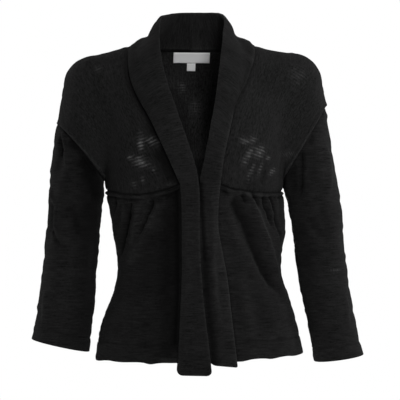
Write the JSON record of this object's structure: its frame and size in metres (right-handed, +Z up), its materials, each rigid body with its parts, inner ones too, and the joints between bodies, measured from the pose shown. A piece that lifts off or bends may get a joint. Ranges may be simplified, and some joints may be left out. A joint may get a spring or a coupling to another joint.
{
  "type": "kimono cardigan",
  "caption": "Open-front cardigan in fine black knit with deep kimono shoulders, a shawl collar that runs on into front bands, and a gathered lower body, filled out as worn.",
  "frame": {"origin": "between the wearer's shoulders, on the line of the neck just below the back neck seam, where the shoulders hold the garment up", "axes": "+Z up, -Y out of the wearer's chest, +X to the wearer's left"},
  "size_m": [0.5261, 0.2459, 0.5734],
  "materials": {
    "knit": "matte fine slub knit",
    "label": "smooth woven ribbon"
  },
  "bodies": {
    "root": {"front_yoke_right": "knit", "front_yoke_left": "knit", "back_yoke": "knit", "sleeve_right": "knit", "sleeve_left": "knit", "front_skirt_right": "knit", "front_skirt_left": "knit", "back_skirt": "knit", "collar_band_right": "knit", "collar_band_left": "knit", "neck_label": "label", "size_tab": "label"}
  },
  "joints": []
}
